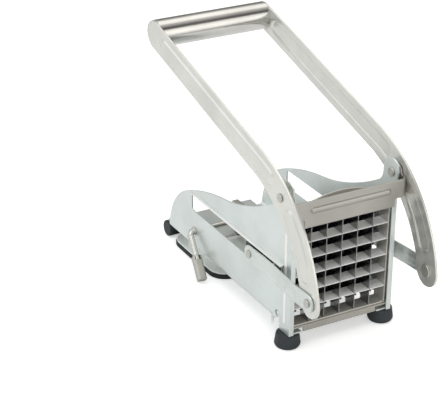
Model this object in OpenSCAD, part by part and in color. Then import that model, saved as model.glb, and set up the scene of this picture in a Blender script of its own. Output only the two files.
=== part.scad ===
// French fry cutter. A long lever pulls a studded pusher forward through a sheet steel channel and
// presses a potato through a grid of blades. The blade end faces -Y, the handle end faces +Y, X is
// the width, and the feet stand on Z = 0. Left is the -X side.

/* [Body] */
// Outer width of the sheet body
body_w = 79; // [70:1:95]
// Length of the side plates, from the front face of the posts to the rear end
body_len = 170; // [160:1:204]
// Distance of the posts' front face ahead of the origin
front_reach = 75; // [60:1:90]
// Thickness of the body sheet
sheet_t = 1.2; // [0.8:0.1:1.6]
// Height of the floor's underside above the table
floor_z = 13.8; // [12.5:0.1:17]
// Outer radius of the bends between floor and side plates
bend_r = 4; // [2:0.5:6]
// Height of the legs' lower ends above the table
leg_z = 10; // [9:0.5:12]
// Depth of the front posts and legs, front to back
leg_d = 13; // [11:0.5:16]
// Width of the flange bent inward at the front of each post
post_flange = 3.6; // [3:0.1:4.5]
// Radius of the rounded rear end of the side plates
hump_r = 46.5; // [40:0.5:52]
// Depth of the ears that carry the lever, front to back
ear_d = 16; // [15:0.5:20]

/* [Guide slots] */
// Height of the slots' middle line above the floor
slot_rise = 35; // [32:0.5:40]
// Height of the slots
slot_h = 13.4; // [11:0.2:15]
// Distance from the slots' rear ends to the rear of the side plates
slot_rear = 35.4; // [35:0.2:42]
// Distance from the slots' front ends to the front face of the posts
slot_front = 10; // [8:0.5:12]
// Width of the lip folded outward along each slot's upper edge
lip_w = 2.2; // [1.2:0.1:2.4]

/* [Blade insert] */
// Number of cells along each side of the grid
cells = 6; // [5:1:7]
// Gap between the insert and each side plate
insert_gap = 2.2; // [1.8:0.1:2.8]
// Wall of the insert's frame
ring_t = 1; // [0.8:0.1:1.4]
// Depth of the insert and its blades, front to back
blade_d = 10; // [8:0.5:12]
// Thickness of the blades
blade_t = 0.5; // [0.4:0.1:0.8]
// Height of the grip tab above the frame
tab_h = 16.6; // [12:0.2:18]

/* [Cross plates] */
// Gap between the insert and the lower edge of the top cross plate
cross_gap = 2.3; // [1.5:0.1:4]
// Height of the top cross plate
cross_h = 18.3; // [16:0.1:22]
// Height of its lower part, which is narrower
cross_low_h = 5.5; // [4:0.5:7]
// Distance of its front face ahead of the posts
cross_reach = 5.3; // [4.5:0.1:7]
// Radius of its front corners
cross_r = 4; // [3:0.5:4.5]
// Gap between each side plate and the flap of the top cross plate beside it
cross_side_gap = 2.2; // [1.5:0.1:2.4]

/* [Lever] */
// Height of the lever pivot above the lower edge of the top cross plate
pivot_rise = 19; // [18:0.5:23]
// Distance of the lever pivot behind the front face of the posts
pivot_back = 6.5; // [6:0.1:8]
// Gap between each side plate and the arm beside it
arm_gap = 3.8; // [3.8:0.1:5]
// Thickness of the arms
arm_t = 1.5; // [1.2:0.1:2]
// Radius of the curve on which the pivot and the link pin lie
elbow_r = 84.2; // [76:0.2:94]
// Width of the straight part of the arms
arm_w = 20.2; // [18.6:0.2:23]
// Extra width of the arms in the middle of the curve
arm_belly = 2.3; // [1:0.1:4]
// Length of the straight part of the arms
arm_len = 155.2; // [130:0.2:186]
// Angle of the straight part above the horizontal
arm_rise = 14.6; // [12:0.2:18]
// Angle along the curve from the vertical to the pivot
pivot_turn = 33; // [31:0.5:36]
// Angle along the curve from the vertical to the link pin
pin_turn = 80; // [75:0.5:84]
// Height of the panels pressed outward in the arms
panel_d = 1; // [0.5:0.1:1.2]
// Width of those panels
panel_w = 10.5; // [8:0.1:12]
// Outer radius of the handle tube
tube_r = 10; // [8:0.1:10.2]
// Height of the tube's middle above the middle of the arms
tube_rise = 0.6; // [0:0.1:1.2]
// Wall of the handle tube
tube_t = 1.2; // [0.8:0.1:2]

/* [Links] */
// Distance between the two pins of each link
link_len = 77.2; // [70:0.2:92]
// Width of the links
link_w = 12; // [11:0.2:14]
// Length of the flat front part of each link, from its front pin
link_flat = 14; // [13:1:20]
// Length of the slant that brings the link close to the side plate
link_jog = 46; // [36:1:48]
// Radius of the pins and rivets of the linkage
pin_r = 2.2; // [2:0.1:2.6]

/* [Pusher] */
// Difference between the grid's opening and the pusher's face
pusher_gap = 2.2; // [1.6:0.1:4]
// Length of the pusher block in front of its rod
pusher_front = 24.2; // [20:0.2:28]
// Length of the pusher block behind its rod
pusher_rear = 5.8; // [5:0.1:7]
// Radius of the rod across the pusher
rod_r = 3; // [2.6:0.1:3.2]
// Thickness of the pusher's head
head_t = 7.6; // [6:0.2:9]
// Width of the hub behind the head
hub_w = 40; // [34:1:42]
// Height of the hub
hub_h = 30; // [24:1:34]
// Length of the studs
stud_len = 7.5; // [6:0.5:9]
// Gap between neighbouring studs
stud_gap = 3.1; // [2.6:0.1:4]
// Thickness of the ribs on the back of the head
rib_t = 3; // [2:0.5:4]

/* [Suction base] */
// Distance of the suction cup's centre ahead of the rear of the side plates
cup_front = 32.6; // [32:0.2:42]
// Width of the suction pan
pan_w = 73; // [64:1:73]
// Length of the suction pan
pan_len = 72; // [60:1:72]
// Corner radius of the suction pan
pan_r = 13; // [10:0.5:16]
// Height of the suction shaft above the floor
shaft_rise = 13; // [13:0.5:15]
// Distance of the suction shaft ahead of the suction cup's centre
shaft_ahead = 6.8; // [3:0.2:7]
// Radius of the cam that lifts the suction stem
cam_r = 6; // [5.6:0.1:6.2]
// Offset of the cam from its shaft
cam_offset = 3; // [2.4:0.1:3]
// Angle of the suction lever ahead of straight down
suction_tilt = 46; // [44:1:56]
// Height of the lowest corner of the suction lever's grip above the table
grip_low = 0.6; // [0.4:0.1:3]
// Width of that grip
grip_w = 6.4; // [6:0.1:7]

/* [Feet] */
// Lower radius of the front feet
foot_r = 8.8; // [8:0.1:10]
// Upper radius of the front feet
foot_top_r = 7.7; // [7:0.1:8]
// Radius of the rubber foot across the rear
rear_foot_r = 6; // [5:0.1:6.2]
// Length of the rubber foot across the rear
rear_foot_len = 71; // [62:1:72]

/* [Clearances] */
// Radial clearance of the turning pins
run_gap = 0.05; // [0.02:0.01:0.1]
// Gap between parts that pass each other, and round soft parts
soft_gap = 0.3; // [0.2:0.05:0.4]
// End gap of the heads that hold turning parts
head_gap = 0.1; // [0.05:0.05:0.2]

/* [Hidden] */
$fn = 64;

// Sides: -1 is left, 1 is right.
SIDES = [-1, 1];
// Long enough to cut through anything.
FAR = 400;
// Added to a cut so that it breaks the surface.
CUT = 1;
// Keeps round ends just inside the edges they run into.
HAIR = 0.01;

// Body
out_x = body_w / 2;
in_x = out_x - sheet_t;
front_y = -front_reach;
rear_y = front_y + body_len;
floor_top = floor_z + sheet_t;
leg_back_y = front_y + leg_d;
band_front_y = leg_back_y + 9;
floor_front_y = leg_back_y + 14;
leg_top_z = leg_z + 8;
hump_z = 12.5;
hump_end = 65;
slope_r = 200;
slope_end = 81;
ear_fillet = 10;
ear_fillet_end = 239;
ear_back_y = front_y + ear_d;
side_hole_r = 2;
floor_slot_w = 34;
floor_slot_len = 6;

// Slots
slot_z = floor_top + slot_rise;
slot_back_y = rear_y - slot_rear;
slot_front_y = front_y + slot_front;
slot_top_z = slot_z + slot_h / 2;
slot_corner = 2;
lip_t = 1.2;

// Blade insert
ring_w = 2 * (in_x - insert_gap);
grid_w = ring_w - 2 * ring_t;
cell = grid_w / cells;
ring_z = floor_top;
grid_z = ring_z + ring_t;
ring_top = grid_z + grid_w + ring_t;
blade_back_y = front_y + 12.7;
blade_front_y = blade_back_y - blade_d;
lap_gap = 0.05;
tab_w = 48;
guide_gap = 0.4;
guide_in = 0.9;

// Cross plates
cross_z = ring_top + cross_gap;
cross_top = cross_z + cross_h;
cross_y = front_y - cross_reach;
cross_flap_in = out_x + cross_side_gap;
cross_flap_w = cross_flap_in + sheet_t;
cross_bead_r = 2.6;
cross_bead_end = 27.8;
flap_r = 5.6;
bar_front_y = front_y + sheet_t;
bar_back_y = front_y + 15;
bar_lip = 3.3;

// Lever
pivot_y = front_y + pivot_back;
pivot_z = cross_z + pivot_rise;
arm_in = out_x + arm_gap;
arm_out = arm_in + arm_t;
elbow_c = [pivot_y + elbow_r * sin(pivot_turn), pivot_z - elbow_r * cos(pivot_turn)];
elbow_mid = (arm_rise + pin_turn) / 2;
outer_r = elbow_r + arm_w / 2 + 0.7;
elbow_shift = arm_belly / (1 - cos(pin_turn - elbow_mid));
inner_r = outer_r + elbow_shift - arm_w - arm_belly;
inner_c = elbow_c + elbow_shift * [sin(elbow_mid), -cos(elbow_mid)];
straight_r = outer_r - arm_w / 2;
arm_dir = [cos(arm_rise), sin(arm_rise)];
arm_normal = [-sin(arm_rise), cos(arm_rise)];
arm_start = on_curve(straight_r, arm_rise);
arm_end = arm_start + arm_len * arm_dir;
tube_c = arm_end + tube_rise * arm_normal;
pin_c = on_curve(elbow_r, pin_turn);
tip_r = outer_r - elbow_r;
plug_len = 10;
panel_end = 17;
bush_r = 5;
inner_head = 2.2;

// Links and pusher
link_in = arm_out + soft_gap;
link_rear_in = out_x + lip_w + 0.7;
link_t = sheet_t;
rod_y = pin_c[0] + sqrt(pow(link_len, 2) - pow(pin_c[1] - slot_z, 2));
rod_end = link_rear_in - soft_gap;
link_tilt = atan2(pin_c[1] - slot_z, rod_y - pin_c[0]);
shoe_len = 16;
shoe_gap = 0.2;
shoe_out = out_x + 1.8;
pusher_w = grid_w - pusher_gap;
pusher_z = grid_z + pusher_gap / 2;
pusher_back_y = rod_y + pusher_rear;
pusher_face_y = rod_y - pusher_front;
stud_w = cell - stud_gap;
rod_boss_r = rod_r + 2.5;
rod_boss_len = 10;
rib_reach = 5;
rib_margin = 4;

// Suction base
cup_y = rear_y - cup_front;
shaft_y = cup_y - shaft_ahead;
shaft_r = 2.2;
shaft_z = floor_top + shaft_rise;
shaft_bend_x = out_x + 0.8;
shaft_bend_r = 3.2;
leg_slant = 6;
cam_turn = 60;
cam_t = 5;
yoke_t = 5;
yoke_bar = 2.5;
stem_r = 2.5;
stem_low_z = 8.8;
rivet_x = 20;
rivet_y = 17;
rivet_r = 1.5;
rivet_head_r = 2.8;
pan_rim_z = 3.5;
pan_t = 1;
dome_inset = 7;
cup_t = 1.6;
cup_boss_r = 8;
grip_len = 18;
grip_t = 5.8;
grip_hold = 10;
lever_len = (shaft_z - grip_low - grip_t / 2 * sin(suction_tilt)) / cos(suction_tilt);
leg_len = lever_len - shaft_bend_r * (1 - sin(leg_slant));

// Feet
foot_x = out_x - 3.2;
foot_y = front_y + 7;
foot_h = leg_z - soft_gap;
screw_r = 2;
screw_head_r = 3.6;
tab_x = 9.3;
rear_foot_y = rear_y + 12;
tongue_z = 3.5;
tongue_w = 69;

// Point of the arms' curve at a radius and an angle from the vertical.
function on_curve(r, turn) = elbow_c + r * [-sin(turn), cos(turn)];

// Points of an arc round c, from angle a0 to a1 in n steps.
function arc(c, r, a0, a1, n) = [for (i = [0:n]) let(a = a0 + (a1 - a0) * i / n) c + r * [cos(a), sin(a)]];

// Points of a curve that leaves p0 towards c and arrives at p1 from c.
function bend(p0, c, p1, n) = [for (i = [1:n - 1]) let(t = i / n)
    (1 - t) * (1 - t) * p0 + 2 * t * (1 - t) * c + t * t * p1];

// A flat shape drawn in Y and Z, as a slab from x0 to x1.
module side_slab(x0, x1) {
    translate([x0, 0, 0]) rotate([90, 0, 90]) linear_extrude(x1 - x0) children();
}

// A flat shape drawn in X and Z, as a slab from y0 to y1.
module front_slab(y0, y1) {
    translate([0, y1, 0]) rotate([90, 0, 0]) linear_extrude(y1 - y0) children();
}

// A slab on one side of the body, between two distances from the middle plane.
module on_side(side, x0, x1) {
    side_slab(side < 0 ? -x1 : x0, side < 0 ? -x0 : x1) children();
}

// A cylinder along X on one side of the body, between two distances from the middle plane.
module pin(side, x0, x1, y, z, r) {
    on_side(side, x0, x1) translate([y, z]) circle(r);
}

// A box between two corners.
module block(low, high) {
    translate(low) cube(high - low);
}

// A flat rectangle with round corners, centred.
module round_rect(w, h, r) {
    square([w - 2 * r, h], center = true);
    square([w, h - 2 * r], center = true);
    for (x = SIDES, y = SIDES) translate([x * (w / 2 - r), y * (h / 2 - r)]) circle(r);
}

// Outline of a side plate in Y and Z, with the leg and the lower part of the ear.
hump_c = [rear_y - hump_r, hump_z];
slope_c = hump_c + (hump_r - slope_r) * [cos(hump_end), sin(hump_end)];
slope_p = slope_c + slope_r * [cos(slope_end), sin(slope_end)];
ear_c = [ear_back_y + ear_fillet, pivot_z - 2.5];
ear_p = ear_c + ear_fillet * [cos(ear_fillet_end), sin(ear_fillet_end)];
slope_k = tan(90 - slope_end);
ear_k = tan(270 - ear_fillet_end);
dip_y = (ear_p[1] + ear_k * ear_p[0] - slope_p[1] - slope_k * slope_p[0]) / (ear_k - slope_k);
dip_c = [dip_y, ear_p[1] - ear_k * (dip_y - ear_p[0])];
module plate_outline() {
    polygon(concat(
        [[front_y, leg_z], [leg_back_y, leg_z], [leg_back_y, leg_top_z], [band_front_y, floor_z]],
        arc(hump_c, hump_r, asin((floor_z - hump_z) / hump_r), hump_end, 14),
        arc(slope_c, slope_r, hump_end + 1, slope_end, 8),
        bend(slope_p, dip_c, ear_p, 14),
        arc(ear_c, ear_fillet, ear_fillet_end, 180, 8),
        [[ear_back_y, pivot_z], [front_y, pivot_z]]
    ));
    intersection() {
        translate([pivot_y, pivot_z]) circle(ear_back_y - pivot_y);
        translate([front_y, 0]) square(FAR);
    }
}

module slot_outline() {
    translate([(slot_back_y + slot_front_y) / 2, slot_z])
        round_rect(slot_back_y - slot_front_y, slot_h, slot_corner);
}

// Cross-section of the channel in X and Z, open at the top.
module channel_section() {
    difference() {
        union() {
            translate([-out_x, floor_z + bend_r]) square([body_w, FAR]);
            translate([bend_r - out_x, floor_z]) square([body_w - 2 * bend_r, FAR]);
            for (s = SIDES) translate([s * (out_x - bend_r), floor_z + bend_r]) circle(bend_r);
        }
        translate([0, sheet_t]) {
            translate([-in_x, floor_z + bend_r - sheet_t]) square([2 * in_x, 2 * FAR]);
            translate([bend_r - out_x, floor_z]) square([body_w - 2 * bend_r, 2 * FAR]);
            for (s = SIDES) translate([s * (out_x - bend_r), floor_z + bend_r - sheet_t])
                circle(bend_r - sheet_t);
        }
    }
}

// The tongue behind the floor, bent down at its end into the rear foot.
module tongue() side_slab(-tongue_w / 2, tongue_w / 2) {
    back_y = rear_foot_y + sheet_t / 2;
    centre = [back_y - bend_r, floor_top - bend_r];
    translate([rear_y - 1, floor_z]) square([centre[0] - rear_y + 1, sheet_t]);
    translate([back_y - sheet_t, tongue_z]) square([sheet_t, centre[1] - tongue_z]);
    intersection() {
        translate(centre) difference() {
            circle(bend_r);
            circle(bend_r - sheet_t);
        }
        translate(centre) square(bend_r);
    }
}

module body_channel() color("silver") difference() {
    union() {
        intersection() {
            front_slab(band_front_y, rear_y) channel_section();
            side_slab(-out_x, out_x) plate_outline();
        }
        for (s = SIDES) {
            on_side(s, in_x, out_x) intersection() {
                plate_outline();
                translate([front_y, 0]) square([band_front_y - front_y, FAR]);
            }
            // Front flange of the post
            on_side(s, out_x - post_flange, in_x)
                translate([front_y, leg_z]) square([sheet_t, cross_z - 0.5 - leg_z]);
            // Tab that the foot is screwed to
            on_side(s, in_x - tab_x, in_x)
                translate([front_y + sheet_t, leg_z]) square([leg_d - sheet_t, sheet_t]);
            // Lip over the slot
            on_side(s, out_x, out_x + lip_w)
                translate([slot_front_y, slot_top_z]) square([slot_back_y - slot_front_y - 2, lip_t]);
            // Stiffening bead of the post
            translate([s * (out_x - 0.6), front_y + 6.4, leg_z + 7.5]) cylinder(r = 1.5, h = 65);
        }
        tongue();
    }
    // Open front of the floor
    block([bend_r - out_x, band_front_y - CUT, 0], [out_x - bend_r, floor_front_y, floor_top + CUT]);
    // Opening in the floor ahead of the suction stem, and the stem's hole
    block([-floor_slot_w / 2, cup_y - 2.2 - floor_slot_len, 0], [floor_slot_w / 2, cup_y - 2.2, floor_top + CUT]);
    translate([0, cup_y, 0]) cylinder(r = stem_r + soft_gap, h = floor_top + CUT);
    for (x = SIDES, y = SIDES) translate([x * rivet_x, cup_y + y * rivet_y, 0])
        cylinder(r = rivet_r, h = floor_top + CUT);
    for (s = SIDES) {
        on_side(s, in_x - CUT, out_x + CUT) intersection() {
            slot_outline();
            translate([-FAR, 0]) square([2 * FAR, slot_top_z]);
        }
        pin(s, in_x - CUT, out_x + CUT, pivot_y, pivot_z, pin_r);
        pin(s, in_x - CUT, out_x + CUT, shaft_y, shaft_z, shaft_r + run_gap);
        pin(s, in_x - CUT, out_x + CUT, leg_back_y + 3.1, leg_top_z + 2.2, side_hole_r);
        translate([s * foot_x, foot_y, 0]) cylinder(r = screw_r, h = leg_z + 2 * sheet_t);
    }
}

// Plan of the top cross plate's front: a web with round corners that turn back on each side.
module cross_plan(grow) {
    w = 2 * (cross_flap_w - grow);
    translate([-w / 2, cross_y + cross_r]) square([w, cross_reach - cross_r + CUT]);
    translate([cross_r - grow - w / 2, cross_y + grow]) square([w - 2 * cross_r + 2 * grow, cross_r]);
    for (s = SIDES) translate([s * (w / 2 + grow - cross_r), cross_y + cross_r]) circle(cross_r - grow);
}

module cross_plate() color("silver") difference() {
    union() {
        translate([0, 0, cross_z + cross_low_h]) linear_extrude(cross_h - cross_low_h) difference() {
            cross_plan(0);
            cross_plan(sheet_t);
            translate([-cross_flap_in, front_y]) square(2 * cross_flap_in);
        }
        // Flap that the pivot rivet holds to the side plate
        for (s = SIDES) on_side(s, cross_flap_in, cross_flap_w) {
            translate([front_y, cross_z + cross_low_h])
                square([pivot_back + flap_r, pivot_rise - cross_low_h]);
            translate([pivot_y, pivot_z]) circle(flap_r);
        }
        block([post_flange - out_x + 2, cross_y, cross_z],
              [out_x - post_flange - 2, cross_y + sheet_t, cross_top]);
        // Bead along the web
        translate([0, cross_y + sheet_t, cross_z + 11.8]) {
            rotate([0, 90, 0]) cylinder(r = cross_bead_r, h = 2 * cross_bead_end, center = true);
            for (s = SIDES) translate([s * cross_bead_end, 0, 0]) sphere(cross_bead_r);
        }
    }
    // Room behind the bead
    block([-cross_flap_in + cross_r, cross_y + sheet_t, cross_z + 8],
          [cross_flap_in - cross_r, cross_y + 4, cross_top - 1]);
    for (s = SIDES) pin(s, out_x, FAR, pivot_y, pivot_z, pin_r);
}

module lower_crossbar() color("silver") {
    block([-in_x, bar_front_y, floor_z], [in_x, bar_back_y, floor_top]);
    block([tab_x - in_x + 1, bar_front_y, floor_z - bar_lip],
          [in_x - tab_x - 1, bar_front_y + sheet_t, floor_z]);
}

module insert_guides() color("silver") for (s = SIDES) on_side(s, in_x - insert_gap - guide_in, in_x)
    translate([blade_back_y + guide_gap, floor_top]) square([sheet_t, ring_top - floor_top]);

module front_feet() color("darkslategray") for (s = SIDES) translate([s * foot_x, foot_y, 0]) difference() {
    union() {
        translate([0, 0, 2]) cylinder(r1 = foot_r, r2 = foot_top_r, h = foot_h - 2);
        cylinder(r1 = foot_r - 1.2, r2 = foot_r, h = 2);
    }
    translate([0, 0, -CUT]) cylinder(r = screw_head_r + soft_gap, h = 4 + CUT);
    cylinder(r = screw_r + soft_gap, h = FAR);
}

module foot_screws() color("gray") for (s = SIDES) translate([s * foot_x, foot_y, 0]) {
    translate([0, 0, 2]) cylinder(r = screw_head_r, h = 1.7);
    translate([0, 0, 2]) cylinder(r = screw_r, h = leg_z + sheet_t - 1);
}

module rear_foot() color("darkslategray") difference() {
    translate([-rear_foot_len / 2, rear_foot_y, rear_foot_r]) rotate([0, 90, 0])
        cylinder(r = rear_foot_r, h = rear_foot_len);
    translate([0, rear_foot_y, 0]) block(
        [-tongue_w / 2 - soft_gap, -sheet_t / 2 - soft_gap, tongue_z - soft_gap],
        [tongue_w / 2 + soft_gap, sheet_t / 2 + soft_gap, FAR]);
}

module suction_pan() color("lightgray") translate([0, cup_y, 0]) difference() {
    union() {
        translate([0, 0, pan_rim_z]) linear_extrude(pan_t) round_rect(pan_w, pan_len, pan_r);
        translate([0, 0, pan_rim_z]) linear_extrude(floor_z - pan_rim_z)
            round_rect(pan_w - 2 * dome_inset, pan_len - 2 * dome_inset, pan_r - 3);
    }
    inset = 2 * (dome_inset + pan_t);
    translate([0, 0, -CUT]) linear_extrude(floor_z - pan_t + CUT)
        round_rect(pan_w - inset, pan_len - inset, pan_r - 3 - pan_t);
    cylinder(r = stem_r + 1, h = FAR);
    for (x = SIDES, y = SIDES) translate([x * rivet_x, y * rivet_y, 0]) cylinder(r = rivet_r, h = FAR);
}

module pan_rivets() color("gray") for (x = SIDES, y = SIDES)
    translate([x * rivet_x, cup_y + y * rivet_y, floor_z - pan_t - 1]) {
    cylinder(r = rivet_head_r, h = 1);
    cylinder(r = rivet_r, h = pan_t + sheet_t + 1.5);
    translate([0, 0, pan_t + sheet_t + 1]) cylinder(r = rivet_head_r, h = 0.8);
}

module suction_cup() color("black") translate([0, cup_y, 0]) difference() {
    union() {
        linear_extrude(pan_rim_z - soft_gap) round_rect(pan_w + 1, pan_len + 1, pan_r);
        cylinder(r = cup_boss_r, h = stem_low_z + 1.2);
    }
    translate([0, 0, -CUT]) linear_extrude(cup_t + CUT) round_rect(pan_w - 8, pan_len - 8, pan_r - 4);
    translate([0, 0, stem_low_z - 3.4]) cylinder(r = stem_r + soft_gap, h = FAR);
}

// The stem hangs on the cam by a yoke; its window clears the cam and the shaft.
module suction_stem() color("gray") {
    cam_z = shaft_z + cam_offset * cos(cam_turn);
    window_z = cam_z - cam_r - soft_gap;
    window_top = cam_z + cam_r + soft_gap;
    window_y = shaft_y + cam_offset * sin(cam_turn) - cam_r - 0.8;
    window_back_y = shaft_y + cam_offset + cam_r + 0.8;
    difference() {
        block([-yoke_t / 2, window_y - yoke_bar, window_z - yoke_bar - 1],
              [yoke_t / 2, window_back_y + yoke_bar, window_top + yoke_bar]);
        block([-yoke_t, window_y, window_z], [yoke_t, window_back_y, window_top]);
    }
    translate([0, cup_y, stem_low_z]) cylinder(r = stem_r, h = window_z - 2 - stem_low_z);
}

module suction_cam() color("gray") side_slab(-cam_t / 2, cam_t / 2) difference() {
    translate([shaft_y + cam_offset * sin(cam_turn), shaft_z + cam_offset * cos(cam_turn)]) circle(cam_r);
    translate([shaft_y, shaft_z]) circle(shaft_r);
}

// Places children with the suction lever's shaft along X and its leg pointing down.
module at_suction_lever() {
    translate([0, shaft_y, shaft_z]) rotate([-suction_tilt, 0, 0]) children();
}

// Places children at the top of the leg, with the leg along -Z.
module at_leg() {
    at_suction_lever()
        translate([-shaft_bend_x - shaft_bend_r * cos(leg_slant), 0, -shaft_bend_r * (1 - sin(leg_slant))])
        rotate([0, leg_slant, 0]) children();
}

// A round rod: the shaft through the body, a bend outside it, and the leg that holds the grip.
module suction_lever() color("silver") {
    side_slab(-shaft_bend_x, out_x + head_gap) translate([shaft_y, shaft_z]) circle(shaft_r);
    pin(1, out_x + head_gap, out_x + 1.1, shaft_y, shaft_z, shaft_r + 1.5);
    pin(-1, out_x + head_gap, shaft_bend_x, shaft_y, shaft_z, shaft_r + 1);
    at_suction_lever() translate([-shaft_bend_x, 0, -shaft_bend_r]) rotate([90, -90, 0])
        rotate_extrude(angle = 90 - leg_slant) translate([shaft_bend_r, 0]) circle(shaft_r);
    rod_len = leg_len - grip_len + grip_hold;
    at_leg() translate([0, 0, -rod_len]) cylinder(r = shaft_r - HAIR, h = rod_len + 0.2);
}

module suction_grip() color("lightgray") at_leg() difference() {
    translate([0, 0, -leg_len]) linear_extrude(grip_len) round_rect(grip_w, grip_t, 1.4);
    translate([0, 0, grip_len - grip_hold - leg_len]) cylinder(r = shaft_r, h = FAR);
    // Notch at the top of the grip's front
    translate([0, 0, grip_len - 3.2 - leg_len]) block([-shaft_r, -FAR, 0], [shaft_r, 0, FAR]);
}

module blade_frame() color("silver") {
    front_slab(blade_front_y - 0.25, blade_back_y + 0.25) difference() {
        translate([-ring_w / 2, ring_z]) square([ring_w, ring_top - ring_z]);
        translate([-grid_w / 2, grid_z]) square(grid_w);
    }
    // Grip tab with an arched top
    front_slab(blade_front_y + 4.2, blade_front_y + 4.2 + sheet_t) intersection() {
        translate([-tab_w / 2, ring_top]) square([tab_w, tab_h]);
        translate([0, ring_top + tab_h - 70]) circle(70);
    }
}

// The blades lap each other: each has a slot for the other in one half of its depth.
module upright_blades() color("silver") difference() {
    for (i = [1:cells - 1]) {
        x = i * cell - grid_w / 2;
        block([x - blade_t / 2, blade_front_y, grid_z], [x + blade_t / 2, blade_back_y, grid_z + grid_w]);
    }
    for (j = [1:cells - 1]) {
        z = grid_z + j * cell;
        block([-FAR, blade_front_y + blade_d / 2 - lap_gap, z - blade_t / 2 - lap_gap],
              [FAR, FAR, z + blade_t / 2 + lap_gap]);
    }
}

module level_blades() color("silver") difference() {
    for (j = [1:cells - 1]) {
        z = grid_z + j * cell;
        block([-grid_w / 2, blade_front_y, z - blade_t / 2], [grid_w / 2, blade_back_y, z + blade_t / 2]);
    }
    for (i = [1:cells - 1]) {
        x = i * cell - grid_w / 2;
        block([x - blade_t / 2 - lap_gap, -FAR, 0],
              [x + blade_t / 2 + lap_gap, blade_front_y + blade_d / 2 + lap_gap, FAR]);
    }
}

module pivot_rivets() color("gray") for (s = SIDES) {
    pin(s, in_x - sheet_t, in_x, pivot_y, pivot_z, pin_r + 1.1);
    pin(s, in_x, arm_out + head_gap, pivot_y, pivot_z, pin_r);
    pin(s, arm_out + head_gap, arm_out + head_gap + 1.1, pivot_y, pivot_z, pin_r + 0.6);
}

module pivot_bushes() color("gray") for (s = SIDES) on_side(s, out_x, cross_flap_in)
    translate([pivot_y, pivot_z]) difference() {
        circle(bush_r);
        circle(pin_r);
    }

// The straight part of an arm or of its panel, which starts inside the curve and has a round end.
module straight_part(w, finish) {
    edge = (w / 2 - HAIR) * arm_normal;
    start = arm_start - arm_dir;
    polygon([start + edge, finish + edge, finish - edge, start - edge]);
    translate(finish) circle(w / 2 - 2 * HAIR);
}

// Outline of an arm in Y and Z.
module arm_outline() {
    difference() {
        intersection() {
            translate(elbow_c) circle(outer_r, $fn = 180);
            polygon([elbow_c, on_curve(2 * outer_r, arm_rise), on_curve(3 * outer_r, elbow_mid),
                     on_curve(2 * outer_r, pin_turn)]);
        }
        translate(inner_c) circle(inner_r, $fn = 180);
    }
    straight_part(arm_w, arm_end);
    translate(pin_c) circle(tip_r - HAIR);
}

// A panel along the arm's curve between two angles.
module curved_panel(r, width, turn0, turn1) intersection() {
    translate(elbow_c) difference() {
        circle(r + width / 2, $fn = 180);
        circle(r - width / 2, $fn = 180);
    }
    polygon([elbow_c, on_curve(2 * r, turn0), on_curve(2 * r, turn1)]);
}

// The round end of such a panel.
module panel_tip(r, width, turn) translate(on_curve(r, turn)) circle(width / 2 - HAIR);

// The two pressed panels of an arm, made narrower by inset on each side.
module arm_panels(inset) {
    width = panel_w - 2 * inset;
    low_r = elbow_r - 0.4;
    curved_panel(low_r, width, pivot_turn + 10, pin_turn - 12);
    panel_tip(low_r, width, pivot_turn + 10);
    panel_tip(low_r, width, pin_turn - 12);
    curved_panel(straight_r, width, arm_rise, pivot_turn - 11);
    panel_tip(straight_r, width, pivot_turn - 11);
    straight_part(width, arm_end - panel_end * arm_dir);
}

module lever_arm(side) color("lightgray") difference() {
    union() {
        on_side(side, arm_in, arm_out) arm_outline();
        on_side(side, arm_in, arm_out + panel_d) arm_panels(0);
    }
    on_side(side, arm_in - CUT, arm_in + panel_d) arm_panels(arm_t);
    pin(side, out_x, FAR, pivot_y, pivot_z, pin_r + run_gap);
    pin(side, out_x, FAR, pin_c[0], pin_c[1], pin_r);
}

module lever_arm_left() lever_arm(-1);

module lever_arm_right() lever_arm(1);

module handle_tube() color("whitesmoke") side_slab(-arm_in, arm_in) translate(tube_c) difference() {
    circle(tube_r);
    circle(tube_r - tube_t);
}

module handle_plugs() color("gray") for (s = SIDES)
    pin(s, arm_in - plug_len, arm_in, tube_c[0], tube_c[1], tube_r - tube_t);

module link_pins() color("gray") for (s = SIDES) {
    pin(s, arm_in - sheet_t, arm_in, pin_c[0], pin_c[1], pin_r + inner_head);
    pin(s, arm_in, link_in + link_t + head_gap, pin_c[0], pin_c[1], pin_r);
    pin(s, link_in + link_t + head_gap, link_in + link_t + head_gap + 1, pin_c[0], pin_c[1], pin_r + 0.6);
}

// Places children with the link's front pin at the origin and the link along +Y.
module at_link() {
    translate([0, pin_c[0], pin_c[1]]) rotate([-link_tilt, 0, 0]) children();
}

// A link: a flat bar with round ends and a bend that brings its rear part in.
module pull_link(side) color("lightgray") difference() {
    at_link() intersection() {
        on_side(side, 0, FAR) translate([link_len / 2, 0])
            round_rect(link_len + link_w, link_w, link_w / 2 - HAIR);
        translate([0, 0, -link_w]) linear_extrude(2 * link_w) scale([side, 1]) polygon([
            [link_in, -link_w], [link_in, link_flat], [link_rear_in, link_flat + link_jog],
            [link_rear_in, link_len + link_w], [link_rear_in + link_t, link_len + link_w],
            [link_rear_in + link_t, link_flat + link_jog], [link_in + link_t, link_flat],
            [link_in + link_t, -link_w]
        ]);
    }
    pin(side, out_x, FAR, pin_c[0], pin_c[1], pin_r + run_gap);
    pin(side, out_x, FAR, rod_y, slot_z, pin_r);
}

module link_left() pull_link(-1);

module link_right() pull_link(1);

module link_rivet(side) color("gray") {
    pin(side, link_rear_in, link_rear_in + link_t, rod_y, slot_z, pin_r);
    pin(side, link_rear_in + link_t, link_rear_in + link_t + 1, rod_y, slot_z, pin_r + 0.6);
}

module link_rivet_left() link_rivet(-1);

module link_rivet_right() link_rivet(1);

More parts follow.
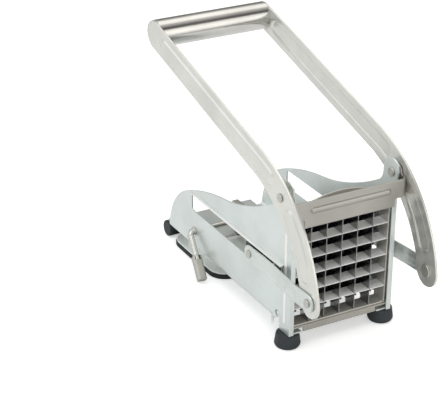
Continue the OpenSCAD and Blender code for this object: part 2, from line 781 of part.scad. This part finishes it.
// The pusher: a studded head, and behind it a hub that the rod runs through.
module pusher_block() color("black") difference() {
    head_back_y = pusher_face_y + head_t;
    mid_z = pusher_z + pusher_w / 2;
    rib_end = pusher_w / 2 - rib_margin;
    union() {
        block([-pusher_w / 2, pusher_face_y, pusher_z], [pusher_w / 2, head_back_y, pusher_z + pusher_w]);
        block([-hub_w / 2, head_back_y - 1, slot_z - hub_h / 2],
              [hub_w / 2, pusher_back_y, slot_z + hub_h / 2]);
        // Boss round the rod, and the bar in front of it
        side_slab(1 - pusher_w / 2, pusher_w / 2 - 1) {
            translate([rod_y, slot_z]) circle(rod_boss_r);
            translate([rod_y - rod_boss_len, slot_z - rod_boss_r]) square([rod_boss_len, 2 * rod_boss_r]);
        }
        // Ribs on the back of the head
        for (s = SIDES) {
            rib_x = s * (hub_w - rib_t) / 2;
            rib_z = slot_z + s * (hub_h - rib_t) / 2;
            block([rib_x - rib_t / 2, head_back_y - 1, mid_z - rib_end],
                  [rib_x + rib_t / 2, head_back_y + rib_reach, mid_z + rib_end]);
            block([-rib_end, head_back_y - 1, rib_z - rib_t / 2],
                  [rib_end, head_back_y + rib_reach, rib_z + rib_t / 2]);
        }
        // Studs, one for each cell of the grid
        for (i = [0:cells - 1], j = [0:cells - 1]) {
            x = (i + 0.5) * cell - grid_w / 2;
            z = grid_z + (j + 0.5) * cell;
            block([x - stud_w / 2, pusher_face_y - stud_len, z - stud_w / 2],
                  [x + stud_w / 2, pusher_face_y + 1, z + stud_w / 2]);
        }
    }
    side_slab(-FAR, FAR) translate([rod_y, slot_z]) circle(rod_r);
}

module pusher_rod() color("gray") side_slab(-rod_end, rod_end) translate([rod_y, slot_z]) circle(rod_r);

module guide_shoes() color("black") for (s = SIDES) on_side(s, in_x - 0.8, shoe_out)
    translate([rod_y, slot_z]) difference() {
        round_rect(shoe_len, slot_h - 2 * shoe_gap, 2);
        circle(rod_r);
    }

body_channel();
cross_plate();
lower_crossbar();
insert_guides();
front_feet();
foot_screws();
rear_foot();
suction_pan();
pan_rivets();
suction_cup();
suction_stem();
suction_cam();
suction_lever();
suction_grip();
blade_frame();
upright_blades();
level_blades();
pivot_rivets();
pivot_bushes();
lever_arm_left();
lever_arm_right();
handle_tube();
handle_plugs();
link_pins();
link_left();
link_right();
link_rivet_left();
link_rivet_right();
pusher_block();
pusher_rod();
guide_shoes();
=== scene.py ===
import math
from contextlib import contextmanager

import bpy
from mathutils import Matrix, Vector


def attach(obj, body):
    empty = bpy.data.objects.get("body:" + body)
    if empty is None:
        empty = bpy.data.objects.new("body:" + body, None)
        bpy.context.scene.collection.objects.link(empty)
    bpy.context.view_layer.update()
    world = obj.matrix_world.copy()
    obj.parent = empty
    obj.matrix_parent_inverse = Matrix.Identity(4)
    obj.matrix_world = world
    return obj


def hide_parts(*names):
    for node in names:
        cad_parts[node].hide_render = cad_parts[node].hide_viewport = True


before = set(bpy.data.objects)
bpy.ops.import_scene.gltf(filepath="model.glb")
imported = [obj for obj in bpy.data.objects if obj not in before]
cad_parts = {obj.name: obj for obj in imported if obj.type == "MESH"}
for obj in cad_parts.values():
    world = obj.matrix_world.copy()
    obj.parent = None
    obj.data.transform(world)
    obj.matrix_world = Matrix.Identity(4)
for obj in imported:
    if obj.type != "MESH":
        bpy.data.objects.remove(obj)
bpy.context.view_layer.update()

MM = 0.001
SIDES = {"left": -1, "right": 1}


def mm(*lengths):
    """Millimetres as metres: one number, or a tuple of several."""
    return lengths[0] * MM if len(lengths) == 1 else tuple(n * MM for n in lengths)


# ---------------------------------------------------------------- shader helpers

class Value:
    """A node's output, on which Python's operators add Math nodes."""

    def __init__(self, nodes, socket):
        self.nodes = nodes
        self.socket = socket

    def math(self, operation, *inputs):
        return self.nodes.node("ShaderNodeMath", {"operation": operation},
                               dict(enumerate(inputs)))

    def __add__(self, other):
        return self.math("ADD", self, other)

    def __radd__(self, other):
        return self.math("ADD", other, self)

    def __rsub__(self, other):
        return self.math("SUBTRACT", other, self)

    def __mul__(self, other):
        return self.math("MULTIPLY", self, other)

    def __rmul__(self, other):
        return self.math("MULTIPLY", other, self)

    def ramp(self, low, high):
        """0 below low, 1 above high and a straight rise between them."""
        return self.nodes.node("ShaderNodeMapRange", {"clamp": True},
                               {"Value": self, "From Min": low, "From Max": high})


class Nodes:
    """The nodes of a material or of the world."""

    def __init__(self, owner):
        owner.use_nodes = True
        self.tree = owner.node_tree

    def node(self, kind, settings=None, inputs=None, out=0):
        """Adds a node; inputs holds constants, or Values to link, by socket name or number."""
        made = self.tree.nodes.new(kind)
        for name, value in (settings or {}).items():
            setattr(made, name, value)
        for name, value in (inputs or {}).items():
            if isinstance(value, Value):
                self.tree.links.new(value.socket, made.inputs[name])
            else:
                made.inputs[name].default_value = value
        return Value(self, made.outputs[out])

    def mix(self, factor, first, second):
        """A colour between first and second."""
        return self.node("ShaderNodeMix", {"data_type": "RGBA"},
                         {0: factor, 6: first, 7: second}, 2)


class Finish(Nodes):
    """A material with one Principled shader, and the nodes that feed it."""

    def __init__(self, name, **sockets):
        self.material = bpy.data.materials.new(name)
        super().__init__(self.material)
        self.shader = self.tree.nodes["Principled BSDF"]
        for socket, value in sockets.items():
            self.shader.inputs[socket.replace("_", " ")].default_value = value

    def place(self):
        return self.node("ShaderNodeTexCoord", out="Object")

    def noise(self, size, stretch, detail, rough):
        """Cloudy noise whose spots are about size metres across, stretched along the axes."""
        scale = [1 / (size * s) for s in stretch]
        point = self.node("ShaderNodeMapping", {}, {"Vector": self.place(), "Scale": scale})
        return self.node("ShaderNodeTexNoise", {},
                         {"Vector": point, "Scale": 1, "Detail": detail, "Roughness": rough})

    def feed(self, socket, value):
        self.tree.links.new(value.socket, self.shader.inputs[socket])

    def bump(self, height, strength, distance):
        bump = self.node("ShaderNodeBump", {},
                         {"Height": height, "Strength": strength, "Distance": distance})
        self.feed("Normal", bump)


def colour(red, green, blue):
    return (red, green, blue, 1)


def lighter(tone, factor, lift=0.0):
    """A tone multiplied by factor and lifted, as a colour."""
    return colour(*[min(1, factor * part + lift) for part in tone])


# ---------------------------------------------------------------- finishes

ALONG_X = (40, 1, 1)
ALONG_Y = (1, 40, 1)
EVEN = (1, 1, 1)
LINE_ROUGHNESS, CLOUD_ROUGHNESS = 0.1, 0.05
MARK_STRENGTH = 0.12
# painted highlight on the channel's slot lips: where it starts and where it is full, as distance
# from the middle in metres, and its pale tone
LIP_HIGHLIGHT_FROM, LIP_HIGHLIGHT_TO = 0.0397, 0.0400
LIP_HIGHLIGHT_TONE = (0.97, 0.95, 0.93)
RUBBER_ROUGHNESS, DUST_ROUGHNESS, MOULD_ROUGHNESS = 0.5, 0.15, 0.08
DUST_STRENGTH = 0.5
PLASTIC_ROUGHNESS, WEAR_ROUGHNESS, SPARK_ROUGHNESS = 0.34, 0.12, 0.06
WEAR_STRENGTH = 0.4


def steel(name, tone, grain, rough, grain_depth=0.06, metallic=1, painted_light=None):
    """Rolled or polished sheet steel: fine lines along grain, faint clouds and a few scratches."""
    made = Finish(name, Metallic=metallic)
    lines = made.noise(size=0.0006, stretch=grain, detail=4, rough=0.65)
    clouds = made.noise(size=0.03, stretch=EVEN, detail=4, rough=0.55)
    streaks = made.noise(size=0.0016, stretch=[6 * g for g in grain], detail=2, rough=0.5)
    marks = streaks.ramp(0.72, 0.8)
    base = made.mix(clouds.ramp(0.35, 0.65), lighter(tone, 0.93), lighter(tone, 1.04))
    base = made.mix(marks * MARK_STRENGTH, base, lighter(tone, 0.8))
    # painted light, when given, is mixed into the base colour here
    made.feed("Base Color", painted_light(made, base) if painted_light else base)
    made.feed("Roughness", rough - LINE_ROUGHNESS / 2 + LINE_ROUGHNESS * lines
              + CLOUD_ROUGHNESS * clouds)
    made.bump(lines, grain_depth, distance=0.00004)
    return made.material


def lip_painted_highlight(made, base):
    """A painted highlight: the lips round the guide slots of the channel are mixed to a paler
    tone, as if catching light on their rolled edges.
    """
    across = made.node("ShaderNodeSeparateXYZ", {}, {"Vector": made.place()}, "X")
    lip_highlight = across.math("ABSOLUTE", across).ramp(LIP_HIGHLIGHT_FROM, LIP_HIGHLIGHT_TO)
    return made.mix(lip_highlight, base, colour(*LIP_HIGHLIGHT_TONE))


def rubber(name, tone):
    """Moulded rubber: matt, with a fine moulded grain and dusty patches."""
    made = Finish(name, Specular_IOR_Level=0.35)
    grain = made.noise(size=0.0007, stretch=EVEN, detail=2, rough=0.5)
    dust = made.noise(size=0.012, stretch=EVEN, detail=5, rough=0.6).ramp(0.45, 0.8)
    dusty = lighter(tone, 2, lift=0.01)
    made.feed("Base Color", made.mix(dust * DUST_STRENGTH, colour(*tone), dusty))
    made.feed("Roughness", RUBBER_ROUGHNESS + DUST_ROUGHNESS * dust + MOULD_ROUGHNESS * grain)
    made.bump(grain, strength=0.25, distance=0.0001)
    return made.material


def plastic(name, tone):
    """Moulded plastic: a soft gloss over a fine spark-eroded grain."""
    made = Finish(name, Specular_IOR_Level=0.5)
    grain = made.noise(size=0.0005, stretch=EVEN, detail=2, rough=0.6)
    wear = made.noise(size=0.008, stretch=EVEN, detail=4, rough=0.6).ramp(0.5, 0.75)
    worn = lighter(tone, 1.6, lift=0.008)
    made.feed("Base Color", made.mix(wear * WEAR_STRENGTH, colour(*tone), worn))
    made.feed("Roughness", PLASTIC_ROUGHNESS + WEAR_ROUGHNESS * wear + SPARK_ROUGHNESS * grain)
    made.bump(grain, strength=0.2, distance=0.00006)
    return made.material


# the body sheet carries the painted highlight on its slot lips
sheet_steel = steel("body_sheet_steel", (0.74, 0.78, 0.765), ALONG_Y, 0.28, metallic=0.7,
                    painted_light=lip_painted_highlight)
# painted shade: a darker copy of the sheet steel for the front plate and lower crossbar, standing
# in for the dim reflections they show
front_steel_painted_shade = steel("front_plate_steel_painted_shade", (0.47, 0.455, 0.42), ALONG_X, 0.30, metallic=0.8)
arm_steel = steel("arm_polished_steel", (0.76, 0.75, 0.71), ALONG_Y, 0.22, metallic=0.65)
link_steel = steel("link_polished_steel", (0.72, 0.75, 0.73), ALONG_Y, 0.26, metallic=0.8)
rod_steel = steel("rod_polished_steel", (0.62, 0.61, 0.57), EVEN, 0.18)
grip_metal = steel("grip_cast_metal", (0.56, 0.54, 0.49), EVEN, 0.42, grain_depth=0.3)
tube_steel = steel("handle_polished_steel", (0.70, 0.69, 0.67), ALONG_X, 0.16)
pin_steel = steel("rivet_turned_steel", (0.55, 0.54, 0.50), EVEN, 0.28, metallic=0.8)
pan_steel = steel("pan_pressed_steel", (0.92, 0.93, 0.90), EVEN, 0.26, metallic=0.15)
# the grid's blades are one steel in two copies: painted shade darkens the upright blades, and the
# level blades carry a painted highlight, pale and matt as if lit from above
blade_steel = steel("upright_blade_steel_painted_shade", (0.38, 0.38, 0.37), ALONG_X, 0.22)
insert_steel = steel("insert_frame_steel", (0.68, 0.66, 0.61), ALONG_X, 0.28, metallic=0.55)
level_blade_painted_highlight = steel("level_blade_steel_painted_highlight", (0.95, 0.95, 0.94), ALONG_X, 0.5,
                    grain_depth=0.2, metallic=0)
plug_metal = steel("plug_cast_metal", (0.62, 0.62, 0.62), EVEN, 0.4, grain_depth=0.3)
foot_rubber = rubber("foot_rubber", (0.028, 0.032, 0.036))
cup_rubber = rubber("cup_rubber", (0.016, 0.019, 0.021))
pusher_plastic = plastic("pusher_moulded_plastic", (0.014, 0.016, 0.024))


# ---------------------------------------------------------------- modelling helpers

MERGE_DISTANCE = 2e-6
# degrees: faces nearer than FLAT_ANGLE become one, edges over SHARP_ANGLE are rounded, and
# pressed sheets are rounded over CUT_ANGLE only, at their cut edges
FLAT_ANGLE = 0.5
SHARP_ANGLE = 35
CUT_ANGLE = 50


def hold(piece):
    """Makes piece the only selected object, and the active one."""
    for other in bpy.context.selected_objects:
        other.select_set(False)
    piece.select_set(True)
    bpy.context.view_layer.objects.active = piece


def add(primitive, **sizes):
    """Adds a primitive with nothing else selected and returns it."""
    for other in bpy.context.selected_objects:
        other.select_set(False)
    primitive(**sizes)
    return bpy.context.active_object


@contextmanager
def editing(piece):
    """Edit mode on piece, with all of it selected."""
    hold(piece)
    bpy.ops.object.mode_set(mode="EDIT")
    bpy.ops.mesh.select_all(action="SELECT")
    yield
    bpy.ops.object.mode_set(mode="OBJECT")


def modify(piece, kind, **settings):
    """Adds a modifier and applies it."""
    hold(piece)
    modifier = piece.modifiers.new(kind.lower(), kind)
    for name, value in settings.items():
        setattr(modifier, name, value)
    bpy.ops.object.modifier_apply(modifier=modifier.name)


def round_edges(piece, width, segments, angle=SHARP_ANGLE):
    """Rounds every edge sharper than angle."""
    modify(piece, "BEVEL", width=mm(width), segments=segments, limit_method="ANGLE",
           angle_limit=math.radians(angle), use_clamp_overlap=False, harden_normals=False)


def copy_of(node):
    """A merged copy of a CAD node's mesh, with its flat faces whole again."""
    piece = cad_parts[node].copy()
    piece.data = piece.data.copy()
    for key in list(piece.keys()):
        del piece[key]
    piece.parent = None
    bpy.context.scene.collection.objects.link(piece)
    with editing(piece):
        bpy.ops.mesh.remove_doubles(threshold=MERGE_DISTANCE)
        bpy.ops.mesh.dissolve_limited(angle_limit=math.radians(FLAT_ANGLE))
    return piece


def settle(piece, name, body, slot, finish, node):
    """Names a piece, puts its place in its mesh, gives it finish and body, and hides the CAD node
    it replaces.
    """
    hold(piece)
    piece.name = piece.data.name = name
    bpy.ops.object.transform_apply(location=True, rotation=True, scale=True)
    bpy.ops.object.shade_smooth_by_angle(angle=math.radians(SHARP_ANGLE))
    modify(piece, "WEIGHTED_NORMAL", keep_sharp=True)
    piece.data.materials.clear()
    piece.data.materials.append(finish)
    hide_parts(node)
    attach(piece, body)


def soften(node, name, body, slot, finish, width, segments):
    """Replaces a CAD node by a copy of itself with rounded edges."""
    piece = copy_of(node)
    round_edges(piece, width, segments)
    settle(piece, name, body, slot, finish, node)


# ---------------------------------------------------------------- camera

CAMERA_PLACE = (-493.18, -802.71, 526.34)
CAMERA_BACK = Vector((-0.4345, -0.7866, 0.4387))
CAMERA_RIGHT = Vector((0.8772, -0.4801, 0.0079))
SENSOR_WIDTH, FOCAL_LENGTH = 36, 126.22


def aim_camera():
    back = CAMERA_BACK.normalized()
    right = (CAMERA_RIGHT - back * CAMERA_RIGHT.dot(back)).normalized()
    up = back.cross(right)
    bpy.ops.object.camera_add(location=mm(*CAMERA_PLACE))
    camera = bpy.context.active_object
    camera.name = "camera"
    camera.rotation_mode = "QUATERNION"
    camera.rotation_quaternion = Matrix((right, up, back)).transposed().to_quaternion()
    camera.data.sensor_width = SENSOR_WIDTH
    camera.data.lens = FOCAL_LENGTH
    bpy.context.scene.camera = camera


aim_camera()


# ---------------------------------------------------------------- lever arms and links

# Positions are pairs of Y and Z in millimetres, and turns are degrees from the vertical.
PIVOT = Vector((-68.5, 108.5))
ELBOW_R = 84.2
ARM_W = 20.2
OUTER_R = ELBOW_R + ARM_W / 2 + 0.7
STRAIGHT_R = OUTER_R - ARM_W / 2
TIP_R = OUTER_R - ELBOW_R
RISE, PIN_TURN, PIVOT_TURN = 14.6, 80, 33
ARM_LEN = 155.2
ARM_IN, ARM_T = 43.3, 1.5
PANEL_D, PANEL_EDGE, PANEL_SLOPE = 1.0, 6.1, 1.7
CAP_STEPS, ELBOW_STEPS, STRAIGHT_STEPS = 16, 110, 150
ARM_COLUMNS = 36
PIN_R, BORE_R = 2.2, 2.25


def turned(angle):
    """Direction on the arm's curve at an angle from the vertical, in Y and Z."""
    return Vector((-math.sin(math.radians(angle)), math.cos(math.radians(angle))))


ELBOW = PIVOT - ELBOW_R * turned(PIVOT_TURN)
PIN = ELBOW + ELBOW_R * turned(PIN_TURN)
ARM_DIR = Vector((math.cos(math.radians(RISE)), math.sin(math.radians(RISE))))
ARM_START = ELBOW + STRAIGHT_R * turned(RISE)
ARM_END = ARM_START + ARM_LEN * ARM_DIR
ELBOW_MID = (RISE + PIN_TURN) / 2
# the arm is wider by BELLY in the middle of its elbow
BELLY = 2.3
SHIFT = BELLY / (1 - math.cos(math.radians(PIN_TURN - ELBOW_MID)))
INNER_R = OUTER_R + SHIFT - ARM_W - BELLY
# middle lines of the two pressed panels: from the elbow to the pin, and along the handle's end
LOW_PANEL_R = ELBOW_R - 0.4
LOW_PANEL = (PIVOT_TURN + 10, PIN_TURN - 12)
HIGH_PANEL = (RISE, PIVOT_TURN - 11)
HIGH_PANEL_END = ARM_END - 17 * ARM_DIR


def inner_edge(turn):
    """Radius of the arm's inner edge from the elbow's centre."""
    off = math.radians(turn - ELBOW_MID)
    edge = math.sqrt(INNER_R ** 2 - (SHIFT * math.sin(off)) ** 2) - SHIFT * math.cos(off)
    along = ELBOW_R * math.radians(PIN_TURN - turn)
    if along < TIP_R:
        return min(edge, ELBOW_R - math.sqrt(TIP_R ** 2 - along ** 2))
    return edge


def cap_rows(centre, ahead, side, radius, steps):
    """Edge points round a half-round end, from its tip back to its centre."""
    rows = []
    for i in range(1, steps):
        angle = math.radians(90 * i / steps)
        middle = centre + ahead * radius * math.cos(angle)
        wide = side * radius * math.sin(angle)
        rows.append((middle + wide, middle - wide))
    return rows


def arm_rows():
    """Outer and inner edge points along an arm, from the pin's end to the handle's end."""
    ahead = Vector((-turned(PIN_TURN).y, turned(PIN_TURN).x))
    rows = cap_rows(PIN, ahead, turned(PIN_TURN), TIP_R, CAP_STEPS)
    for i in range(ELBOW_STEPS + 1):
        turn = PIN_TURN + (RISE - PIN_TURN) * i / ELBOW_STEPS
        rows.append((ELBOW + OUTER_R * turned(turn), ELBOW + inner_edge(turn) * turned(turn)))
    half = turned(RISE) * ARM_W / 2
    for i in range(1, STRAIGHT_STEPS + 1):
        centre = ARM_START + ARM_DIR * ARM_LEN * i / STRAIGHT_STEPS
        rows.append((centre + half, centre - half))
    return rows + cap_rows(ARM_END, ARM_DIR, turned(RISE), ARM_W / 2, CAP_STEPS)[::-1]


def smooth(t):
    """A rise from 0 to 1 that starts and ends level."""
    t = max(0.0, min(1.0, t))
    return t * t * (3 - 2 * t)


def off_curve(point, radius, low, high):
    """Distance of a point from a stretch of the arm's curve between two angles."""
    arm = point - ELBOW
    turn = math.degrees(math.atan2(-arm.x, arm.y))
    return (arm - radius * turned(max(low, min(high, turn)))).length


def off_line(point, start, end):
    """Distance of a point from a straight stretch."""
    way = (end - start).normalized()
    along = max(0, min((end - start).length, (point - start).dot(way)))
    return (point - start - way * along).length


def arm_height(point):
    """Height of the panels pressed outward in an arm."""
    low = off_curve(point, LOW_PANEL_R, *LOW_PANEL)
    high = min(off_curve(point, STRAIGHT_R, *HIGH_PANEL),
               off_line(point, ARM_START, HIGH_PANEL_END))
    return PANEL_D * smooth((PANEL_EDGE - min(low, high)) / PANEL_SLOPE)


def pressed_strip(name, side, rows, columns, outer_x, height, thickness):
    """A strip of sheet metal between two edge lines, with panels pressed outward.

    rows holds pairs of points in Y and Z, outer_x the outer face's distance from the middle."""
    strip = add(bpy.ops.mesh.primitive_grid_add,
                x_subdivisions=columns, y_subdivisions=len(rows) - 1)
    across = columns + 1
    for k, vertex in enumerate(strip.data.vertices):
        first, last = rows[k // across]
        point = first + (last - first) * (k % across) / columns
        vertex.co = mm(side * (outer_x(point) + height(point)), point.x, point.y)
    with editing(strip):
        bpy.ops.mesh.normals_make_consistent(inside=False)
    face = strip.data.polygons[len(strip.data.polygons) // 2]
    if face.normal.x * side < 0:
        strip.data.flip_normals()
    strip.name = name
    modify(strip, "SOLIDIFY", thickness=mm(thickness), offset=-1, use_even_offset=True)
    return strip


DRILL_FACES, DRILL_LEN = 48, 12


def drill(piece, side, x, point, radius):
    """Cuts a round hole along X."""
    drill_bit = add(bpy.ops.mesh.primitive_cylinder_add, vertices=DRILL_FACES, radius=mm(radius),
                    depth=mm(DRILL_LEN), location=mm(side * x, point.x, point.y),
                    rotation=(0, math.radians(90), 0))
    modify(piece, "BOOLEAN", object=drill_bit, operation="DIFFERENCE", solver="EXACT")
    bpy.data.objects.remove(drill_bit)


for word, side in SIDES.items():
    arm = pressed_strip("arm", side, arm_rows(), ARM_COLUMNS,
                        lambda point: ARM_IN + ARM_T, arm_height, ARM_T)
    drill(arm, side, ARM_IN, PIVOT, BORE_R)
    drill(arm, side, ARM_IN, PIN, PIN_R)
    round_edges(arm, width=0.4, segments=2, angle=CUT_ANGLE)
    settle(arm, "lever_arm_pressed_" + word, "lever", "arm_steel", arm_steel, "lever_arm_" + word)


LINK_LEN, LINK_W, LINK_T = 77.2, 12, 1.2
LINK_IN, LINK_REAR_IN = 45.1, 42.4
LINK_CAP_STEPS, LINK_STEPS, LINK_COLUMNS = 12, 90, 24
JOG_START, JOG_LEN, JOG_EASE = 14, 46, 0.06
RIB_D, RIB_EDGE, RIB_SLOPE = 0.35, 3.9, 1.2
RIB_START, RIB_END = 16, 62
ROD_Z = 50
ROD = Vector((PIN.x + math.sqrt(LINK_LEN ** 2 - (PIN.y - ROD_Z) ** 2), ROD_Z))
LINK_DIR = (ROD - PIN).normalized()
LINK_SIDE = Vector((-LINK_DIR.y, LINK_DIR.x))


def link_rows():
    """Edge points along a link, from its front end to its rear end."""
    half = LINK_SIDE * LINK_W / 2
    rows = cap_rows(PIN, -LINK_DIR, LINK_SIDE, LINK_W / 2, LINK_CAP_STEPS)
    for i in range(LINK_STEPS + 1):
        centre = PIN + LINK_DIR * LINK_LEN * i / LINK_STEPS
        rows.append((centre + half, centre - half))
    rear = PIN + LINK_DIR * LINK_LEN
    return rows + cap_rows(rear, LINK_DIR, LINK_SIDE, LINK_W / 2, LINK_CAP_STEPS)[::-1]


def link_outer_x(point):
    """Distance of a link's outer face from the middle: it leans in towards its rear end."""
    jog = max(0.0, min(1.0, ((point - PIN).dot(LINK_DIR) - JOG_START) / JOG_LEN))
    eased = jog - JOG_EASE * math.sin(2 * math.pi * jog)
    return LINK_IN + LINK_T + (LINK_REAR_IN - LINK_IN) * eased


def link_height(point):
    """Depth of the shallow rib pressed inward along a link, as a height below its face."""
    away = off_line(point, PIN + LINK_DIR * RIB_START, PIN + LINK_DIR * RIB_END)
    return -RIB_D * smooth((RIB_EDGE - away) / RIB_SLOPE)


for word, side in SIDES.items():
    link = pressed_strip("link", side, link_rows(), LINK_COLUMNS,
                         link_outer_x, link_height, LINK_T)
    drill(link, side, LINK_IN, PIN, BORE_R)
    drill(link, side, LINK_REAR_IN, ROD, PIN_R)
    round_edges(link, width=0.3, segments=2, angle=CUT_ANGLE)
    settle(link, "pull_link_pressed_" + word, word + "_pull_link", "arm_steel", link_steel,
           "link_" + word)


# ---------------------------------------------------------------- handle

TUBE_R, TUBE_WALL, TUBE_RISE, TUBE_FACES = 10, 1.2, 0.6, 128
TUBE = ARM_END + TUBE_RISE * Vector((-ARM_DIR.y, ARM_DIR.x))
tube = add(bpy.ops.mesh.primitive_cylinder_add, vertices=TUBE_FACES, radius=mm(TUBE_R),
           depth=mm(2 * ARM_IN), end_fill_type="NOTHING", location=mm(0, TUBE.x, TUBE.y),
           rotation=(0, math.radians(90), 0))
modify(tube, "SOLIDIFY", thickness=mm(TUBE_WALL), offset=-1)
round_edges(tube, width=0.3, segments=2, angle=CUT_ANGLE)
settle(tube, "handle_tube_polished", "lever", "handle_steel", tube_steel, "handle_tube")


# ---------------------------------------------------------------- pieces with rounded edges

# CAD node, name, body, material slot, finish, width of the rounding and its segments
ROUNDED = (
    ("body_channel", "body_sheet", "frame", "steel_body", sheet_steel, 0.35, 3),
    ("cross_plate", "cross_plate_rounded", "frame", "steel_body", front_steel_painted_shade, 0.4, 3),
    ("lower_crossbar", "lower_crossbar_rounded", "frame", "steel_body", front_steel_painted_shade, 0.35, 3),
    ("insert_guides", "insert_guides_rounded", "frame", "steel_body", sheet_steel, 0.2, 2),
    ("blade_frame", "blade_frame_rounded", "blade_insert", "blade_steel", insert_steel, 0.25, 2),
    ("pivot_bushes", "pivot_bushes_rounded", "frame", "rivet_steel", pin_steel, 0.3, 2),
    ("pivot_rivets", "pivot_rivets_domed", "frame", "rivet_steel", pin_steel, 0.5, 3),
    ("link_pins", "link_pins_domed", "lever", "rivet_steel", pin_steel, 0.5, 3),
    ("link_rivet_left", "link_rivet_left_domed", "left_pull_link", "rivet_steel",
     pin_steel, 0.45, 3),
    ("link_rivet_right", "link_rivet_right_domed", "right_pull_link", "rivet_steel",
     pin_steel, 0.45, 3),
    ("pan_rivets", "pan_rivets_domed", "frame", "rivet_steel", pin_steel, 0.3, 3),
    ("foot_screws", "foot_screws_rounded", "frame", "rivet_steel", pin_steel, 0.3, 3),
    ("front_feet", "front_feet_rounded", "frame", "rubber_black", foot_rubber, 0.6, 3),
    ("rear_foot", "rear_foot_rounded", "frame", "rubber_black", foot_rubber, 0.8, 3),
    ("suction_pan", "suction_pan_rounded", "frame", "pan_steel", pan_steel, 0.45, 3),
    ("suction_cup", "suction_cup_rounded", "frame", "rubber_black", cup_rubber, 0.7, 3),
    ("suction_lever", "suction_lever_bent_rod", "suction_handle", "steel_rod", rod_steel, 0.3, 3),
    ("suction_grip", "suction_grip_cast", "suction_handle", "steel_rod", grip_metal, 0.4, 3),
    ("suction_cam", "suction_cam_rounded", "suction_handle", "rivet_steel", pin_steel, 0.3, 3),
    ("suction_stem", "suction_stem_rounded", "suction_plunger", "rivet_steel", pin_steel, 0.3, 3),
    ("pusher_block", "pusher_moulded", "pusher", "pusher_plastic", pusher_plastic, 0.3, 2),
    ("guide_shoes", "guide_shoes_moulded", "pusher", "pusher_plastic", pusher_plastic, 0.3, 2),
    ("handle_plugs", "handle_plugs_cast", "lever", "plug_metal", plug_metal, 0.3, 2),
)
for row in ROUNDED:
    soften(*row)
# the blades get their painted-shade and painted-highlight copies of the steel
for node, finish in {"upright_blades": blade_steel, "level_blades": level_blade_painted_highlight,
                     "pusher_rod": pin_steel}.items():
    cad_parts[node].data.materials.clear()
    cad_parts[node].data.materials.append(finish)


# ---------------------------------------------------------------- floor, world and lights

WHITE = colour(1, 1, 1)
FLOOR_SIZE, FLOOR_TONE, FLOOR_ROUGHNESS = 8, (0.9, 0.9, 0.9), 0.9
FLOOR_GLOW = 0.45


def lay_floor():
    """A pale paper floor, lifted to white where it is seen directly or through glass."""
    floor = add(bpy.ops.mesh.primitive_plane_add, size=FLOOR_SIZE)
    floor.name = "floor"
    paint = Finish("floor_paper", Base_Color=colour(*FLOOR_TONE), Roughness=FLOOR_ROUGHNESS)
    rays = paint.node("ShaderNodeLightPath", out="Is Camera Ray")
    clear = Value(paint, rays.socket.node.outputs["Is Transmission Ray"])
    glow = paint.node("ShaderNodeEmission", {},
                      {"Color": WHITE, "Strength": (rays + clear) * FLOOR_GLOW})
    both = paint.node("ShaderNodeAddShader", {},
                      {0: Value(paint, paint.shader.outputs[0]), 1: glow})
    paint.tree.links.new(both.socket, paint.tree.nodes["Material Output"].inputs["Surface"])
    floor.data.materials.append(paint.material)


COOL, WARM = colour(0.80, 0.84, 0.85), colour(0.66, 0.63, 0.58)
COOL_X, WARM_X = -0.6, 0.9
DOME_STRENGTH = 0.75
# direction, strength, and the cosines where a panel or screen starts and where it is full
PANELS = (
    ((0.43, 0.38, 0.82), 1.2, 0.85, 0.94),
    ((-0.72, 0.57, 0.40), 0.7, 0.88, 0.96),
)
SCREENS = (
    ((0.43, -0.63, 0.65), 0.8, 0.93, 0.99),
    ((0.43, 0.79, 0.44), 0.6, 0.9, 0.96),
)


def light_world():
    """A studio dome: cool left, warm right, with two bright panels and two dark screens."""
    world = bpy.data.worlds.new("studio")
    bpy.context.scene.world = world
    dome = Nodes(world)
    way = dome.node("ShaderNodeTexCoord", out="Generated")
    across = dome.node("ShaderNodeSeparateXYZ", {}, {"Vector": way}, "X")
    tint = dome.mix(across.ramp(COOL_X, WARM_X), COOL, WARM)

    def patch(direction, start, full):
        """1 in a round patch of the dome, 0 away from it."""
        cosine = dome.node("ShaderNodeVectorMath", {"operation": "DOT_PRODUCT"},
                           {0: way, 1: direction}, "Value")
        return cosine.ramp(start, full)

    strength = DOME_STRENGTH
    for direction, power, start, full in PANELS:
        strength = strength + power * patch(direction, start, full)
    for direction, power, start, full in SCREENS:
        strength = strength * (1 - power * patch(direction, start, full))
    seen = dome.node("ShaderNodeLightPath", out="Is Camera Ray")
    background = dome.tree.nodes["Background"]
    dome.tree.links.new(dome.mix(seen, tint, WHITE).socket, background.inputs["Color"])
    dome.tree.links.new((strength + seen * (1 - strength)).socket, background.inputs["Strength"])


LAMP_TARGET = Vector((0, 0, 0.06))
# name, width and height, power, place, tint
LAMPS = (
    ("overhead_softbox", (1.2, 0.9), 5, (-0.3, -0.1, 1.4), (1, 1, 1)),
    ("left_softbox", (0.9, 0.9), 2.5, (-1.3, -0.3, 0.9), (0.97, 0.99, 1.0)),
    ("front_softbox", (1.8, 1.1), 5.5, (0.3, -1.4, 0.6), (1.0, 0.98, 0.94)),
)


def light(name, size, power, place, tint):
    """A rectangular area lamp turned to the middle of the object."""
    bpy.ops.object.light_add(type="AREA", location=place)
    lamp = bpy.context.active_object
    lamp.name = name
    lamp.data.shape = "RECTANGLE"
    lamp.data.size, lamp.data.size_y = size
    lamp.data.energy = power
    lamp.data.color = tint
    lamp.rotation_euler = (Vector(place) - LAMP_TARGET).to_track_quat("Z", "Y").to_euler()


lay_floor()
light_world()
for lamp_row in LAMPS:
    light(*lamp_row)
bpy.context.scene.view_settings.view_transform = "Standard"
